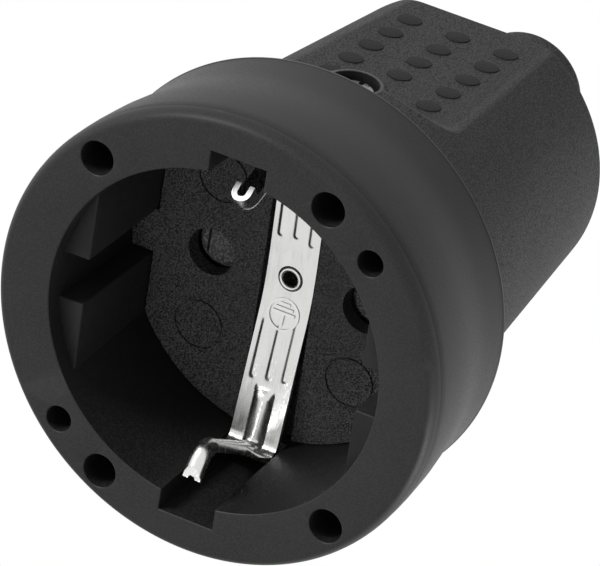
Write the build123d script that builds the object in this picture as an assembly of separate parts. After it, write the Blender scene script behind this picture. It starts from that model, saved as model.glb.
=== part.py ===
from build123d import *
import os
from math import cos, radians, sin

# Earthed cable socket, millimetres. It stands on its open face: the face ring is at z = 0 and
# faces down, +Z runs along the axis to the cord neck, +Y points at the flat with the housing
# screw, and the two pin holes lie on the X axis.

# plug interface
pin_spacing = 19.0
pin_radius = 2.4
pin_hole_radius = 2.77
well_depth = 17.5
well_radius = 19.8
well_draft = 0.45
rib_chord = 16.5
rib_start = 2.2
channel_half = 2.7
notch_half = 3.3
notch_reach = 22.0

# clearances
seat_gap = 0.15
running_gap = 0.05
wall_gap = 0.3
screw_gap = 0.1

# housing outside: face ring, collar, tapered grip and cord neck
face_radius = 25.2
nose_depth = 1.75
flange_radius = 26.25
flange_length = 3.4
collar_mid_radius = 25.86
collar_mid = 8.0
waist_radius = 24.9
waist_start = 16.0
collar_end = 19.7
collar_step = 0.4
barrel_radius = 21.45
barrel_taper = 0.098
barrel_round = 1.6
neck_radius = 6.8
neck_length = 17.5
neck_round = 1.0
cord_bore_radius = 4.4
rear_wall = 3.0
rear_room = 1.0

# grip flats and their dots
flat_height = 15.45
flat_height_back = 6.2
flat_slope = 0.073
flat_cove = 3.8
flat_start = 27.6
dot_radius = 1.55
dot_rise = 0.4
dot_sunk = 0.5
dot_pitch = 4.87
dot_column = 6.0
dot_last_back = 6.1
dot_rows = 5

# housing screw and its nut
screw_z = 26.85
screw_recess_radius = 2.8
screw_boss_radius = 3.7
screw_head_radius = 2.2
screw_head_top = 19.7
screw_head_height = 2.0
screw_slot_depth = 0.7
screw_slot_half = 0.3
screw_shank_radius = 1.5
screw_tip_y = 7.6
nut_y = 10.0
nut_half_width = 2.9
nut_half_height = 2.5
nut_half_thickness = 1.2

# blind holes in the face ring, angle from +X towards +Y
ring_hole_circle = 23.0
ring_hole_depth = 6.0
large_hole_radius = 1.95
small_hole_radius = 1.5
large_hole_angles = (45.0, 118.2, 225.0, 298.2)
small_hole_angles = (136.0, 316.0)

# face plate
plate_thickness = 2.1
strip_half = 2.9
strip_thickness = 0.6
strip_sink = 0.55
slot_gap = 0.35
slot_floor_gap = 0.15
witness_radius = 3.0
witness_line = 0.3
witness_depth = 0.25
witness_places = ((9.3, 9.3), (9.7, -9.1), (-9.0, -9.2), (-9.2, 9.2))

# contact base with the shutter's chamber, and the terminal carrier behind it
chamber_radius = 13.0
chamber_depth = 2.5
base_thickness = 4.6
carrier_radius = 16.4
carrier_half_height = 13.0
carrier_length = 17.8
saddle_half = 9.5
saddle_back_y = 10.5
saddle_seat_y = 5.2
saddle_length = 13.5
wiring_radius = 14.9
wiring_half_height = 12.6

# shutter and its spring
shutter_lift = 0.75
hub_radius = 3.6
pillar_radius = 2.2
wing_half = 2.75
wing_thickness = 1.0
pad_radius = 2.3
pad_front = 0.15
pad_slit = 1.3
pad_slit_width = 0.3
spring_wire = 0.25
spring_coil = 2.85
spring_pitch = 0.6
spring_turns = 1.5
spring_recess = 1.1

# pin contacts and their clips
sleeve_wall = 0.9
sleeve_setback = 2.5
sleeve_length = 13.4
sleeve_floor = 0.5
sleeve_slit_half = 0.3
sleeve_solid = 5.0
clip_wall = 0.6
clip_start = 2.0
clip_length = 4.0
clip_gap_half = 1.0
terminal_half = 4.0
terminal_depth = 3.6
terminal_length = 8.0
wire_hole_radius = 1.8
wire_hole_start = 2.0
terminal_screw_back = 5.0
terminal_screw_radius = 1.5
terminal_screw_from = 1.9
terminal_screw_to = 5.2

# earth strip, its arms and beads; each end stands forward of the plate by its own rise
strip_flat_half = 2.5
strip_bend = 1.7
lower_rise = 3.5
upper_rise = 0.7
arm_radius = 1.1
arm_wall = 0.65
arm_leg = 0.55
arm_wall_y = 20.5
lower_elbow = (14.0, 2.4)
upper_elbow = (15.6, 3.3)
lower_tip_run = 2.7
upper_tip_run = 1.9
arm_tip_slope = 0.7
arm_tip_z = 0.1
arm_bend = 1.6
root_length = 3.4
root_taper = 0.8
bead_radius = 1.1
bead_start = 13.7
bead_end = 18.3
rib_radius = 0.45
rib_crest = 0.2
rib_column = 1.9
upper_rib_span = (4.6, 11.0)
lower_rib_span = (5.2, 12.3)

# earth rivet, link bar and terminal
eyelet_radius = 1.25
eyelet_bore = 0.9
eyelet_flange = 1.48
eyelet_flange_thickness = 0.35
eyelet_tail_radius = 2.2
eyelet_tail = 1.2
rivet_depth = 5.8
link_half = 2.5
link_thickness = 1.0
link_reach = 8.0
earth_y = -9.0
earth_depth = 5.0
earth_length = 10.5
earth_hole_start = 4.0

# cord clamp
clamp_back = 5.0
clamp_screw_x = 6.6
clamp_screw_radius = 1.45
clamp_head_radius = 2.4
clamp_head_height = 1.7
clamp_slot_half = 0.35
clamp_bar_half = 9.2
clamp_bar_low = 4.6
clamp_bar_high = 8.2
clamp_bar_depth = 3.5
clamp_bar_round = 1.5
clamp_ridge_radius = 0.9
clamp_ridge_length = 7.0
clamp_screw_tip = -10.4
clamp_nut_radius = 2.6
clamp_nut_height = 2.0
clamp_nut_y = -10.3

# derived places
pin_x = pin_spacing / 2
floor_radius = well_radius - well_draft
strip_top = well_depth + strip_sink
strip_bottom = strip_top + strip_thickness
plate_back = well_depth + plate_thickness
chamber_floor = plate_back + chamber_depth
base_back = plate_back + base_thickness
carrier_end = base_back + carrier_length
saddle_end = carrier_end + saddle_length
barrel_end = saddle_end + rear_room + rear_wall
neck_end = barrel_end + neck_length
flat_height_z = barrel_end - flat_height_back
dot_last_z = barrel_end - dot_last_back
shutter_front = plate_back + shutter_lift
sleeve_outer = pin_radius + sleeve_wall
sleeve_front = chamber_floor + sleeve_setback
sleeve_end = sleeve_front + sleeve_length
clip_outer = sleeve_outer + clip_wall
terminal_end = sleeve_end + terminal_length
terminal_screw_z = sleeve_end + terminal_screw_back
rivet_back = base_back + rivet_depth
earth_front = rivet_back + earth_depth
earth_end = earth_front + earth_length
clamp_z = saddle_end - clamp_back
far = 2 * flange_radius


def disc(radius, low, high, x=0.0, y=0.0):
    # a round bar along Z
    bar = Cylinder(radius, high - low, align=(Align.CENTER, Align.CENTER, Align.MIN))
    return Pos(x, y, low) * bar


def rod_y(radius, low, high, x, z):
    # a round bar along Y
    bar = Cylinder(radius, high - low, align=(Align.CENTER, Align.CENTER, Align.MIN))
    return Pos(x, low, z) * Rot(-90, 0, 0) * bar


def block(x_low, x_high, y_low, y_high, z_low, z_high):
    centre = ((x_low + x_high) / 2, (y_low + y_high) / 2, (z_low + z_high) / 2)
    return Pos(*centre) * Box(x_high - x_low, y_high - y_low, z_high - z_low)


def slab(half_height, low, high):
    # everything between two planes across Y
    return block(-far, far, -half_height, half_height, low, high)


def barrel_at(z):
    return barrel_radius - barrel_taper * (z - collar_end)


def flat_at(z):
    return flat_height + flat_slope * (flat_height_z - z)


def keyed_outline(radius, chord, key_half):
    # a circle cut by two chords, with a key left standing at each side
    outline = Circle(radius) & Rectangle(2 * chord, 2 * radius)
    key = Circle(radius) & Rectangle(2 * radius, 2 * key_half)
    return outline + key


def insert_outline():
    return keyed_outline(floor_radius - seat_gap, rib_chord - seat_gap, channel_half - seat_gap)


def save(node, shape):
    solids = shape.solids()
    if len(solids) == 1:
        shape = solids[0]
    export_step(shape, "parts/" + node + ".step")
    print(node, len(solids), "solids", round(shape.volume, 1))


# housing: one piece of rubber, turned outside
def outer_body():
    nose_end = (flange_radius, nose_depth)
    waist = (waist_radius, waist_start)
    with BuildLine() as profile:
        Line((0, 0), (face_radius, 0))
        Spline((face_radius, 0), nose_end, tangents=((1, 0.1), (0, 1)))
        Line(nose_end, (flange_radius, flange_length))
        Spline((flange_radius, flange_length), (collar_mid_radius, collar_mid), waist,
               tangents=((0, 1), (0, 1)))
        Polyline(waist, (waist_radius, collar_end), (barrel_at(collar_end), collar_end + collar_step),
                 (barrel_at(barrel_end), barrel_end), (neck_radius, barrel_end),
                 (neck_radius, neck_end), (0, neck_end), (0, 0))
    body = revolve(Plane.XZ * make_face(profile.line), Axis.Z)
    for z, edge_round in ((barrel_end, barrel_round), (neck_end, neck_round)):
        rings = body.edges().filter_by(GeomType.CIRCLE)
        rings = [e for e in rings if abs(e.center().Z - z) < running_gap]
        body = fillet(max(rings, key=lambda e: e.radius), edge_round)
    return body


# what is cut away above a grip flat: the flat runs forward into a cove
def flat_cutter():
    beyond = barrel_end + neck_length / 2
    cove_end = flat_start + flat_cove
    foot = flat_at(cove_end)
    with BuildLine() as edge:
        Polyline((far, flat_start), (foot + flat_cove, flat_start))
        RadiusArc((foot + flat_cove, flat_start), (foot, cove_end), -flat_cove)
        Polyline((foot, cove_end), (flat_at(beyond), beyond), (far, beyond), (far, flat_start))
    return extrude(Plane.YZ * make_face(edge.line), amount=far, both=True)


def grip_dots(skipped):
    tilt = Plane(origin=(0, flat_at(dot_last_z), dot_last_z), x_dir=(1, 0, 0), z_dir=(0, 1, flat_slope))
    dots = []
    for row in range(dot_rows):
        for column in (-1, 0, 1):
            if (row, column) not in skipped:
                place = tilt * Pos(column * dot_column, row * dot_pitch, 0)
                dots.append(place * disc(dot_radius, -dot_sunk, dot_rise))
    return dots


def well_cutter():
    bore = loft([Circle(well_radius), Pos(0, 0, well_depth) * Circle(floor_radius)])
    keyed = extrude(keyed_outline(far, rib_chord, channel_half), well_depth)
    well = bore & (disc(far, 0, rib_start) + keyed)
    for side in (1, -1):
        low, high = sorted((side * rib_chord / 2, side * notch_reach))
        well += block(-notch_half, notch_half, low, high, 0, plate_back)
    seat = keyed_outline(floor_radius, rib_chord, channel_half)
    return well + extrude(Pos(0, 0, well_depth) * seat, base_back - well_depth)


def inner_cutter():
    pocket = disc(carrier_radius + wall_gap, base_back, carrier_end + wall_gap)
    pocket &= slab(carrier_half_height + wall_gap, 0, neck_end)
    wiring = disc(wiring_radius, carrier_end, barrel_end - rear_wall)
    wiring &= slab(wiring_half_height, 0, neck_end)
    return pocket + wiring + disc(cord_bore_radius, barrel_end - rear_wall, neck_end)


def screw_cutter():
    recess = rod_y(screw_recess_radius, screw_head_top - screw_head_height, far, 0, screw_z)
    return recess + rod_y(screw_shank_radius + wall_gap, nut_y, screw_head_top, 0, screw_z)


def ring_holes():
    holes = []
    for radius, angles in ((large_hole_radius, large_hole_angles), (small_hole_radius, small_hole_angles)):
        for angle in angles:
            x = ring_hole_circle * cos(radians(angle))
            y = ring_hole_circle * sin(radians(angle))
            holes.append(disc(radius, 0, ring_hole_depth, x, y))
    return holes


def make_housing():
    body = outer_body()
    body -= flat_cutter() - rod_y(screw_boss_radius, 0, far, 0, screw_z)
    body -= Rot(0, 0, 180) * flat_cutter()
    front_middle = (dot_rows - 1, 0)
    for dot in grip_dots([front_middle]):
        body += dot
    for dot in grip_dots([]):
        body += Rot(0, 0, 180) * dot
    body -= well_cutter()
    body -= inner_cutter()
    body -= screw_cutter()
    for hole in ring_holes():
        body -= hole
    return body


# face plate: the floor of the well
def make_face_plate():
    plate = extrude(Pos(0, 0, well_depth) * insert_outline(), plate_thickness)
    slot = strip_half + slot_gap
    plate -= block(-slot, slot, -far, far, 0, strip_bottom + slot_floor_gap)
    for side in (1, -1):
        plate -= disc(pin_hole_radius, 0, neck_end, side * pin_x)
    for x, y in witness_places:
        line = disc(witness_radius, 0, well_depth + witness_depth, x, y)
        plate -= line - disc(witness_radius - witness_line, 0, neck_end, x, y)
    return plate - disc(eyelet_radius, 0, neck_end)


# contact base: closes the shutter's chamber, with the pillar the shutter turns on
def make_contact_base():
    base = extrude(Pos(0, 0, plate_back) * insert_outline(), base_thickness)
    base -= disc(chamber_radius, plate_back, chamber_floor)
    base += disc(pillar_radius, plate_back, chamber_floor)
    recess = disc(hub_radius, chamber_floor, chamber_floor + spring_recess)
    base -= recess - disc(pillar_radius, 0, neck_end)
    for side in (1, -1):
        base -= disc(sleeve_outer + wall_gap, chamber_floor, base_back, side * pin_x)
    return base - disc(eyelet_radius, 0, neck_end)


# terminal carrier: holds the sleeves, the terminals and the housing nut, and ends in the cord saddle
def contact_chambers():
    chambers = None
    half = terminal_half + wall_gap
    depth = terminal_depth + wall_gap
    screw_half = terminal_screw_radius + wall_gap
    for side in (1, -1):
        x = side * pin_x
        chamber = disc(clip_outer + wall_gap, base_back, saddle_end, x)
        chamber += block(x - half, x + half, -depth, depth, sleeve_end - wall_gap, saddle_end)
        chamber += block(x - screw_half, x + screw_half, 0, terminal_screw_to + wall_gap,
                         terminal_screw_z - screw_half, saddle_end)
        chambers = chamber if chambers is None else chambers + chamber
    return chambers


def make_terminal_carrier():
    core = disc(carrier_radius, base_back, carrier_end)
    core &= slab(carrier_half_height, 0, neck_end)
    core += block(-saddle_half, saddle_half, -saddle_back_y, -saddle_seat_y, carrier_end, saddle_end)
    core -= contact_chambers()
    core -= disc(eyelet_radius, 0, rivet_back)
    core -= disc(eyelet_tail_radius + wall_gap, rivet_back, saddle_end)
    terminal_space = terminal_half + wall_gap
    back = terminal_end + wall_gap
    core -= block(-terminal_space, terminal_space, earth_y - terminal_depth - wall_gap,
                  earth_y + terminal_screw_to + wall_gap, earth_front - wall_gap, back)
    core -= block(-link_half - wall_gap, link_half + wall_gap, -link_reach - wall_gap,
                  link_half + wall_gap, rivet_back + eyelet_tail - wall_gap, back)
    nut_width = nut_half_width + seat_gap
    nut_depth = nut_half_thickness + seat_gap
    core -= block(-nut_width, nut_width, nut_y - nut_depth, nut_y + nut_depth, base_back, saddle_end)
    core -= rod_y(screw_shank_radius + wall_gap, saddle_seat_y, carrier_radius, 0, screw_z)
    for side in (1, -1):
        x = side * clamp_screw_x
        core -= rod_y(clamp_screw_radius + screw_gap, -far, 0, x, clamp_z)
        nut_top = clamp_nut_y + clamp_nut_height
        core -= rod_y(clamp_nut_radius + seat_gap, -saddle_back_y, nut_top, x, clamp_z)
    return core


# shutter: a hub with two wings, whose pads close the pin holes
def make_shutter():
    back = shutter_front + wing_thickness
    shutter = disc(hub_radius, shutter_front, back)
    for side in (1, -1):
        low, high = sorted((0.0, side * pin_x))
        shutter += block(low, high, -wing_half, wing_half, shutter_front, back)
        shutter += disc(wing_half, shutter_front, back, side * pin_x)
        shutter += disc(pad_radius, plate_back + pad_front, back, side * pin_x)
        slit = pin_x + pad_slit
        low, high = sorted((side * slit, side * (slit + pad_slit_width)))
        shutter -= block(low, high, -pad_radius, pad_radius, plate_back, shutter_front)
    return shutter - disc(pillar_radius + running_gap, 0, neck_end)


def make_shutter_spring():
    path = Helix(pitch=spring_pitch, height=spring_pitch * spring_turns, radius=spring_coil)
    section = Plane(origin=path @ 0, z_dir=path % 0) * Circle(spring_wire)
    start = shutter_front + wing_thickness + spring_wire + running_gap
    return Pos(0, 0, start) * sweep(section, path=path, is_frenet=True)


# hollow rivet that holds the strip, the plate and the base together
def make_earth_eyelet():
    flange_back = strip_top - eyelet_flange_thickness
    rivet = disc(eyelet_flange, flange_back, strip_top)
    rivet += disc(eyelet_radius, flange_back, rivet_back + eyelet_tail)
    rivet += disc(eyelet_tail_radius, rivet_back, rivet_back + eyelet_tail)
    return rivet - disc(eyelet_bore, 0, neck_end)


# earth strip: one bar through the plate's slot, with a bent half-tube arm at each end
def arch_section(plane):
    shell = Circle(arm_radius) - Circle(arm_radius - arm_wall)
    upper = Pos(0, arm_radius / 2) * Rectangle(2 * arm_radius, arm_radius)
    legs = Rectangle(2 * arm_radius, arm_leg, align=(Align.CENTER, Align.MAX))
    inner = Rectangle(2 * (arm_radius - arm_wall), 2 * arm_leg)
    return plane * ((shell & upper) + (legs - inner))


def make_arm(elbow, tip, root):
    with BuildLine() as route:
        FilletPolyline(root, elbow, tip, radius=arm_bend)
    path = route.line
    plane = Plane(origin=path @ 0, x_dir=(1, 0, 0), z_dir=path % 0)
    return sweep(arch_section(plane), path=path)


# half of the bar, turned down at the wall and narrowed to the arm
def make_bar(corner, root):
    mid = strip_top + strip_thickness / 2
    with BuildLine() as side:
        FilletPolyline((0, 0, mid), (0, strip_flat_half, mid), corner, root, radius=strip_bend)
    bar = side.line
    plane = Plane(origin=bar @ 0, x_dir=(1, 0, 0), z_dir=bar % 0)
    band = sweep(plane * Rectangle(2 * strip_half, strip_thickness), path=bar)
    start = corner.Z - root_taper
    corners = ((-strip_half, start), (strip_half, start), (arm_radius, root.Z), (-arm_radius, root.Z))
    taper = extrude(Plane.XZ * Polygon(*corners, align=None), amount=far, dir=(0, 1, 0))
    return band & (taper + block(-strip_half, strip_half, 0, far, start, strip_bottom + strip_thickness))


# stamped bead and ribs, on the sloping part of the bar
def make_stamping(rise, rib_span):
    half = strip_thickness / 2
    slope = Rot(-Axis.Y.direction.get_angle(Vector(0, arm_wall_y - strip_flat_half, -rise)), 0, 0)
    front = block(-strip_half, strip_half, 0, far, -far, half)
    stamping = rod_y(bead_radius, bead_start - strip_flat_half, bead_end - strip_flat_half, 0, 0)
    stamping += Pos(0, bead_start - strip_flat_half, 0) * Sphere(bead_radius)
    for x in (-rib_column, 0, rib_column):
        low, high = rib_span
        stamping += rod_y(rib_radius, low - strip_flat_half, high - strip_flat_half, x, -rib_crest)
    return Pos(0, strip_flat_half, strip_top + half) * slope * (stamping & front)


# one end of the strip; the sheared tip of the arm lies just behind the plane of the face
def make_strip_end(rise, elbow_place, tip_run, rib_span):
    elbow_y, elbow_z = elbow_place
    corner = Vector(0, arm_wall_y, strip_top + strip_thickness / 2 - rise)
    elbow = Vector(0, elbow_y, elbow_z)
    tip = elbow + Vector(0, tip_run, -arm_tip_slope * tip_run)
    root = corner + (elbow - corner).normalized() * root_length
    arm = make_arm(elbow, tip, root) - disc(far, -far, arm_tip_z)
    return arm + make_bar(corner, root) + make_stamping(rise, rib_span)


def make_earth_strip():
    strip = make_strip_end(upper_rise, upper_elbow, upper_tip_run, upper_rib_span)
    lower_end = make_strip_end(lower_rise, lower_elbow, lower_tip_run, lower_rib_span)
    strip += mirror(lower_end, about=Plane.XZ)
    strip -= disc(eyelet_flange + running_gap, 0, strip_top)
    return strip - disc(eyelet_radius, 0, neck_end)


# bar from the rivet's tail to the earth terminal
def make_earth_link():
    front = rivet_back + eyelet_tail
    link = block(-link_half, link_half, -link_reach, link_half, front, front + link_thickness)
    foot = block(-link_half, link_half, -link_reach, link_thickness - link_reach, front, earth_front)
    return link + foot


# brass block with a hole for the core's bare end
def terminal_block(x, y, front, back, hole_start):
    body = block(x - terminal_half, x + terminal_half, y - terminal_depth, y + terminal_depth, front, back)
    body -= disc(wire_hole_radius, front + hole_start, back, x, y)
    return body - rod_y(terminal_screw_radius, y, y + terminal_depth, x, terminal_screw_z)


def make_contact(side):
    x = side * pin_x
    sleeve = disc(sleeve_outer, sleeve_front, sleeve_end, x)
    sleeve += terminal_block(x, 0, sleeve_end, terminal_end, wire_hole_start)
    sleeve -= disc(pin_radius, sleeve_front, sleeve_end - sleeve_floor, x)
    return sleeve - block(x - sleeve_slit_half, x + sleeve_slit_half, -sleeve_outer, sleeve_outer,
                          sleeve_front, sleeve_end - sleeve_solid)


def make_clip(side):
    x = side * pin_x
    low = sleeve_front + clip_start
    ring = disc(clip_outer, low, low + clip_length, x) - disc(sleeve_outer, 0, neck_end, x)
    return ring - block(x - clip_gap_half, x + clip_gap_half, 0, clip_outer, 0, neck_end)


def make_earth_terminal():
    return terminal_block(0, earth_y, earth_front, earth_end, earth_hole_start)


def make_terminal_screws():
    screws = []
    for x, y in ((pin_x, 0), (-pin_x, 0), (0, earth_y)):
        low, high = y + terminal_screw_from, y + terminal_screw_to
        screws.append(rod_y(terminal_screw_radius, low, high, x, terminal_screw_z).solid())
    return Compound(children=screws)


def make_housing_screw():
    head = rod_y(screw_head_radius, screw_head_top - screw_head_height, screw_head_top, 0, screw_z)
    shank = rod_y(screw_shank_radius, screw_tip_y, screw_head_top - screw_slot_depth, 0, screw_z)
    low = screw_head_top - screw_slot_depth
    reach = screw_head_radius
    slot = block(-reach, reach, low, far, screw_z - screw_slot_half, screw_z + screw_slot_half)
    cross = block(-screw_slot_half, screw_slot_half, low, far, screw_z - reach, screw_z + reach)
    return head + shank - slot - cross


def make_housing_nut():
    nut = block(-nut_half_width, nut_half_width, nut_y - nut_half_thickness, nut_y + nut_half_thickness,
                screw_z - nut_half_height, screw_z + nut_half_height)
    return nut - rod_y(screw_shank_radius, 0, far, 0, screw_z)


# cord clamp: bar, two screws and their nuts
def make_clamp_bar():
    bar = block(-clamp_bar_half, clamp_bar_half, clamp_bar_low, clamp_bar_high,
                clamp_z - clamp_bar_depth, clamp_z + clamp_bar_depth)
    bar = fillet(bar.edges().filter_by(Axis.Y), clamp_bar_round)
    ridge = Cylinder(clamp_ridge_radius, clamp_ridge_length)
    bar += Pos(0, clamp_bar_low, clamp_z) * Rot(0, 90, 0) * ridge
    for side in (1, -1):
        bar -= rod_y(clamp_screw_radius + screw_gap, 0, far, side * clamp_screw_x, clamp_z)
    return bar


def make_clamp_screws():
    screws = []
    head_top = clamp_bar_high + clamp_head_height
    for side in (1, -1):
        x = side * clamp_screw_x
        screw = rod_y(clamp_head_radius, clamp_bar_high, head_top, x, clamp_z)
        screw -= block(x - clamp_head_radius, x + clamp_head_radius, head_top - screw_slot_depth, far,
                       clamp_z - clamp_slot_half, clamp_z + clamp_slot_half)
        screw += rod_y(clamp_screw_radius, clamp_screw_tip, clamp_bar_high, x, clamp_z)
        screws.append(screw.solid())
    return Compound(children=screws)


def make_clamp_nuts():
    nuts = []
    for side in (1, -1):
        x = side * clamp_screw_x
        hexagon = extrude(RegularPolygon(clamp_nut_radius, 6), clamp_nut_height)
        nut = Pos(x, clamp_nut_y, clamp_z) * Rot(-90, 0, 0) * hexagon
        nut -= rod_y(clamp_screw_radius, -far, 0, x, clamp_z)
        nuts.append(nut.solid())
    return Compound(children=nuts)


os.makedirs("parts", exist_ok=True)
save("housing", make_housing())
save("face_plate", make_face_plate())
save("contact_base", make_contact_base())
save("terminal_carrier", make_terminal_carrier())
save("shutter", make_shutter())
save("shutter_spring", make_shutter_spring())
save("earth_strip", make_earth_strip())
save("earth_eyelet", make_earth_eyelet())
save("earth_link", make_earth_link())
save("earth_terminal", make_earth_terminal())
save("line_contact", make_contact(1))
save("neutral_contact", make_contact(-1))
save("line_clip", make_clip(1))
save("neutral_clip", make_clip(-1))
save("terminal_screws", make_terminal_screws())
save("cord_clamp_bar", make_clamp_bar())
save("cord_clamp_screws", make_clamp_screws())
save("cord_clamp_nuts", make_clamp_nuts())
save("housing_screw", make_housing_screw())
save("housing_nut", make_housing_nut())
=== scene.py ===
import math

import bmesh
import bpy
import numpy as np
from mathutils import Matrix, Quaternion, Vector


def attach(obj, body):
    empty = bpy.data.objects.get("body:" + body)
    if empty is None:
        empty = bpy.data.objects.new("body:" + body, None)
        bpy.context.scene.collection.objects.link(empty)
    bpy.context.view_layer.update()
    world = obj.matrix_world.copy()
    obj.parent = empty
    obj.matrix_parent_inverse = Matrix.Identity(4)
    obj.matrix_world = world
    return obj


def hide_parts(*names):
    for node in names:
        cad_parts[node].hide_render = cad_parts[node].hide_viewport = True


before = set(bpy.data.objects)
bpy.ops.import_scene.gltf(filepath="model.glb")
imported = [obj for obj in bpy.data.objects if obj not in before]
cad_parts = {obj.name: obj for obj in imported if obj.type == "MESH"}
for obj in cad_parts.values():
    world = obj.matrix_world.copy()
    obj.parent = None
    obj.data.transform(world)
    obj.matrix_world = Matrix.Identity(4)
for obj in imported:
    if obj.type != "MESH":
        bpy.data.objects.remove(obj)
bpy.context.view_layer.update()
print("frame loaded", len(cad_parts), "nodes")

mm = 0.001  # shapes below are in millimetres, and each mesh is scaled once, when it is finished


# small helpers

def newObject(name, bm, material, body="socket", sharp=32, recalc=True):
    # closes a bmesh into an object whose place is in its mesh, in metres
    if recalc:
        bmesh.ops.recalc_face_normals(bm, faces=bm.faces)
    mesh = bpy.data.meshes.new(name)
    bm.to_mesh(mesh)
    bm.free()
    mesh.transform(Matrix.Scale(mm, 4))
    mesh.polygons.foreach_set("use_smooth", [True] * len(mesh.polygons))
    mesh.set_sharp_from_angle(angle=math.radians(sharp))
    mesh.materials.append(material)
    obj = bpy.data.objects.new(name, mesh)
    bpy.context.scene.collection.objects.link(obj)
    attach(obj, body)
    return obj


def addTo(bm, other):
    # moves one bmesh into another
    mesh = bpy.data.meshes.new("part")
    other.to_mesh(mesh)
    other.free()
    bm.from_mesh(mesh)
    bpy.data.meshes.remove(mesh)


def chain(bm, points, close=False):
    # vertices joined by edges, in the order given
    verts = [bm.verts.new(p) for p in points]
    edges = [bm.edges.new((a, b)) for a, b in zip(verts, verts[1:])]
    if close:
        edges.append(bm.edges.new((verts[-1], verts[0])))
    return verts, edges


def newVerts(made):
    # the vertices among what an operator has made
    return [g for g in made["geom"] if isinstance(g, bmesh.types.BMVert)]


def spinProfile(bm, points, steps, axis=(0, 0, 1), centre=(0, 0, 0)):
    verts, edges = chain(bm, points)
    bmesh.ops.spin(bm, geom=verts + edges, cent=centre, axis=axis, dvec=(0, 0, 0),
                   angle=math.tau, steps=steps, use_merge=True, use_duplicate=False)
    bmesh.ops.remove_doubles(bm, verts=bm.verts, dist=0.0004)


def bevelEdges(bm, edges, offset, segments):
    bmesh.ops.bevel(bm, geom=edges, offset=offset, offset_type="OFFSET", segments=segments,
                    profile=0.5, affect="EDGES", clamp_overlap=True, material=-1)


def roundMax(a, b, k):
    # the larger of two distances, with the corner between them rounded
    return np.minimum(-k, np.maximum(a, b)) + np.hypot(np.maximum(a + k, 0), np.maximum(b + k, 0))


# node groups shared by the materials

def newGroup(name, inputs, outputs):
    group = bpy.data.node_groups.new(name, "ShaderNodeTree")
    for label, kind, value in inputs:
        socket = group.interface.new_socket(name=label, in_out="INPUT", socket_type=kind)
        if value is not None:
            socket.default_value = value
    for label in outputs:
        group.interface.new_socket(name=label, in_out="OUTPUT", socket_type="NodeSocketFloat")
    return group, group.nodes.new("NodeGroupInput"), group.nodes.new("NodeGroupOutput")


def addNode(tree, kind, **settings):
    node = tree.nodes.new(kind)
    for key, value in settings.items():
        setattr(node, key, value)
    return node


def addMath(tree, operation, a, b=None, clamp=False):
    node = addNode(tree, "ShaderNodeMath", operation=operation, use_clamp=clamp)
    for socket, value in zip(node.inputs, (a, b)):
        if isinstance(value, (int, float)):
            socket.default_value = value
        elif value is not None:
            tree.links.new(value, socket)
    return node.outputs[0]


def rangeOf(tree, value, span, toLow=0.0, toHigh=1.0):
    node = addNode(tree, "ShaderNodeMapRange")
    tree.links.new(value, node.inputs["Value"])
    limits = {"From Min": span[0], "From Max": span[1], "To Min": toLow, "To Max": toHigh}
    for key, number in limits.items():
        node.inputs[key].default_value = number
    return node.outputs["Result"]


def rangeMm(tree, value, span, toLow=0.0, toHigh=1.0):
    # the same for a length, with its limits in millimetres
    return rangeOf(tree, value, (span[0] * mm, span[1] * mm), toLow, toHigh)


def addNoise(tree, vector, scale, detail, rough=0.5):
    noise = addNode(tree, "ShaderNodeTexNoise")
    noise.inputs["Detail"].default_value = detail
    noise.inputs["Roughness"].default_value = rough
    tree.links.new(vector, noise.inputs["Vector"])
    if isinstance(scale, float):
        noise.inputs["Scale"].default_value = scale
    else:
        tree.links.new(scale, noise.inputs["Scale"])
    return noise.outputs["Fac"]


def makeGrainGroup():
    # moulded grain: noise and pits as a height, and a pale spot in the middle of each cell
    tree, start, end = newGroup(
        "mouldGrain",
        [("Vector", "NodeSocketVector", None), ("Size", "NodeSocketFloat", 0.3),
         ("Pits", "NodeSocketFloat", 0.4)],
        ["Height", "Spots"])
    vector = start.outputs["Vector"]
    scale = addMath(tree, "DIVIDE", 1000.0, start.outputs["Size"])
    fine = addNoise(tree, vector, scale, 3.0, 0.62)
    cells = addNode(tree, "ShaderNodeTexVoronoi", feature="F1")
    tree.links.new(vector, cells.inputs["Vector"])
    tree.links.new(addMath(tree, "MULTIPLY", scale, 0.8), cells.inputs["Scale"])
    pit = addMath(tree, "MULTIPLY", cells.outputs["Distance"], start.outputs["Pits"])
    tree.links.new(addMath(tree, "ADD", fine, pit), end.inputs["Height"])
    tree.links.new(rangeOf(tree, cells.outputs["Distance"], (0.6, 0.25)), end.inputs["Spots"])
    return tree


def makeWearGroup():
    # where edges stand out: rubbed and paler, broken up by noise
    tree, start, end = newGroup(
        "edgeWear",
        [("Vector", "NodeSocketVector", None), ("Pointiness", "NodeSocketFloat", 0.5),
         ("Amount", "NodeSocketFloat", 0.5)],
        ["Mask"])
    edges = rangeOf(tree, start.outputs["Pointiness"], (0.52, 0.62))
    noise = addNoise(tree, start.outputs["Vector"], 900.0, 4.0)
    broken = addMath(tree, "MULTIPLY", edges, noise)
    worn = addMath(tree, "MULTIPLY", broken, start.outputs["Amount"], clamp=True)
    tree.links.new(worn, end.inputs["Mask"])
    return tree


def makeMarksGroup():
    # broad soft patches of handling marks and a little dust
    tree, start, end = newGroup(
        "handlingMarks",
        [("Vector", "NodeSocketVector", None), ("Amount", "NodeSocketFloat", 0.3)],
        ["Mask"])
    wide = addNoise(tree, start.outputs["Vector"], 90.0, 5.0, 0.55)
    soft = rangeOf(tree, wide, (0.35, 0.75))
    marked = addMath(tree, "MULTIPLY", soft, start.outputs["Amount"], clamp=True)
    tree.links.new(marked, end.inputs["Mask"])
    return tree


grainGroup = makeGrainGroup()
wearGroup = makeWearGroup()
marksGroup = makeMarksGroup()


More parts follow.
